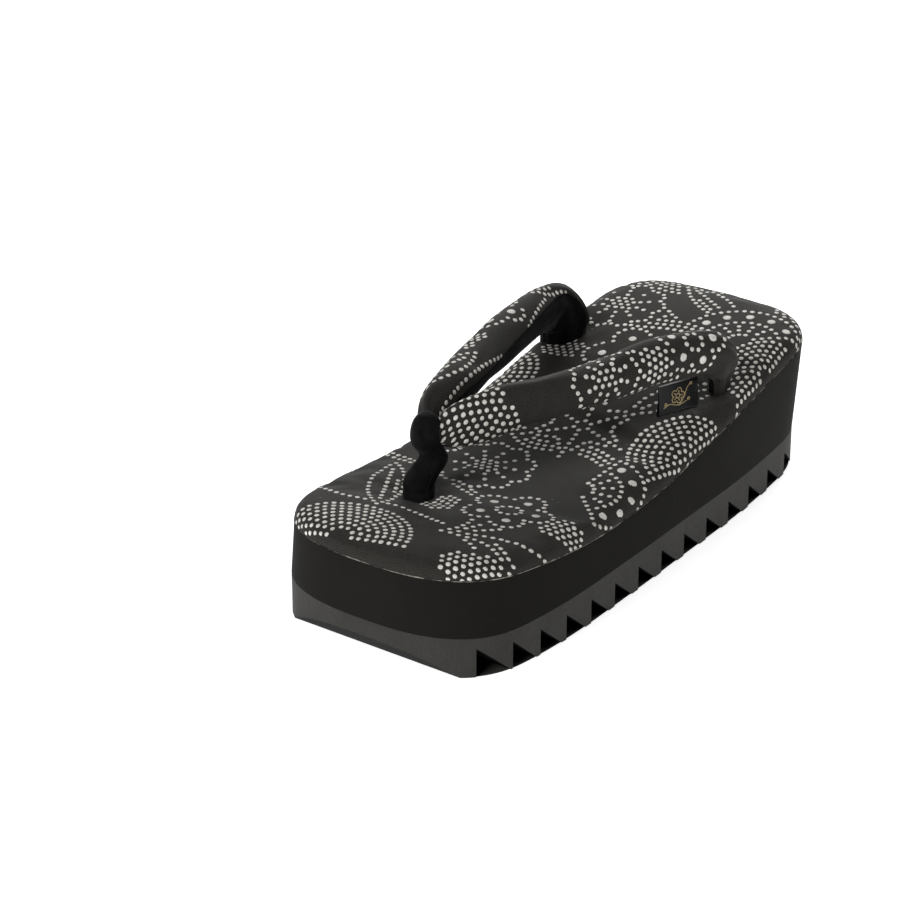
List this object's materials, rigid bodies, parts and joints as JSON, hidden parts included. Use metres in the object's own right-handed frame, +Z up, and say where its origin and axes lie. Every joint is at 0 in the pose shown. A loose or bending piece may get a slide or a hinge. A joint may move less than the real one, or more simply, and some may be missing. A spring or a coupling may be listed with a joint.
{
  "type": "setta sandal",
  "caption": "Platform thong sandal with a padded V-shaped strap, velvet toe post, padded fabric footbed, foam wedge and saw-toothed rubber sole.",
  "frame": {"origin": "on the floor, under the middle of the sole", "axes": "+Z up; toe towards -Y, heel towards +Y; +X towards the wearer's left, the outer side of this left shoe"},
  "size_m": [0.104, 0.2461, 0.079],
  "materials": {
    "tread_rubber": "matte moulded rubber",
    "wedge_foam": "matte closed-cell foam",
    "printed_cloth": "twill with small raised ivory dots, over padding",
    "strap_cloth": "twill with small raised ivory dots, sewn to a velvet lining",
    "velvet": "short-pile velvet",
    "ribbon": "woven ribbon"
  },
  "bodies": {
    "root": {"outsole": "tread_rubber", "midsole": "wedge_foam", "footbed": "printed_cloth", "strap": "strap_cloth", "toe_post": "velvet", "tag": "ribbon"}
  },
  "joints": []
}
